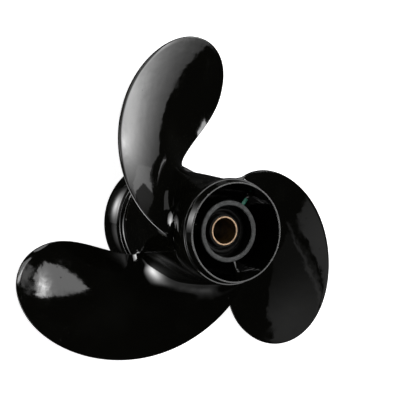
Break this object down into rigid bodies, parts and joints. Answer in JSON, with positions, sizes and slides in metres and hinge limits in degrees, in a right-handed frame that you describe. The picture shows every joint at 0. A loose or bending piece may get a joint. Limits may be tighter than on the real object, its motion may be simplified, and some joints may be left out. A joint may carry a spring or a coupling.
{
  "type": "outboard motor propeller",
  "caption": "Right-hand outboard propeller: swept blades on a hollow barrel with a bell front, ribs, an inner hub, a rubber bushing and a brass drive sleeve.",
  "frame": {"origin": "on the shaft axis, in the plane of the barrel's flat front rim, which the propeller stands on", "axes": "+Z along the shaft axis towards the aft end, +Y towards the first blade's tip, +X by the right-hand rule"},
  "size_m": [0.2134, 0.2025, 0.1027],
  "materials": {
    "black_paint": "gloss",
    "cast_metal": "rough",
    "black_rubber": "matte",
    "brass": "satin"
  },
  "bodies": {
    "root": {"barrel": "black_paint", "blade_1": "black_paint", "blade_2": "black_paint", "blade_3": "black_paint", "rib_1": "black_paint", "rib_2": "black_paint", "rib_3": "black_paint", "inner_hub": "cast_metal", "rubber_bushing": "black_rubber", "brass_sleeve": "brass"}
  },
  "joints": []
}
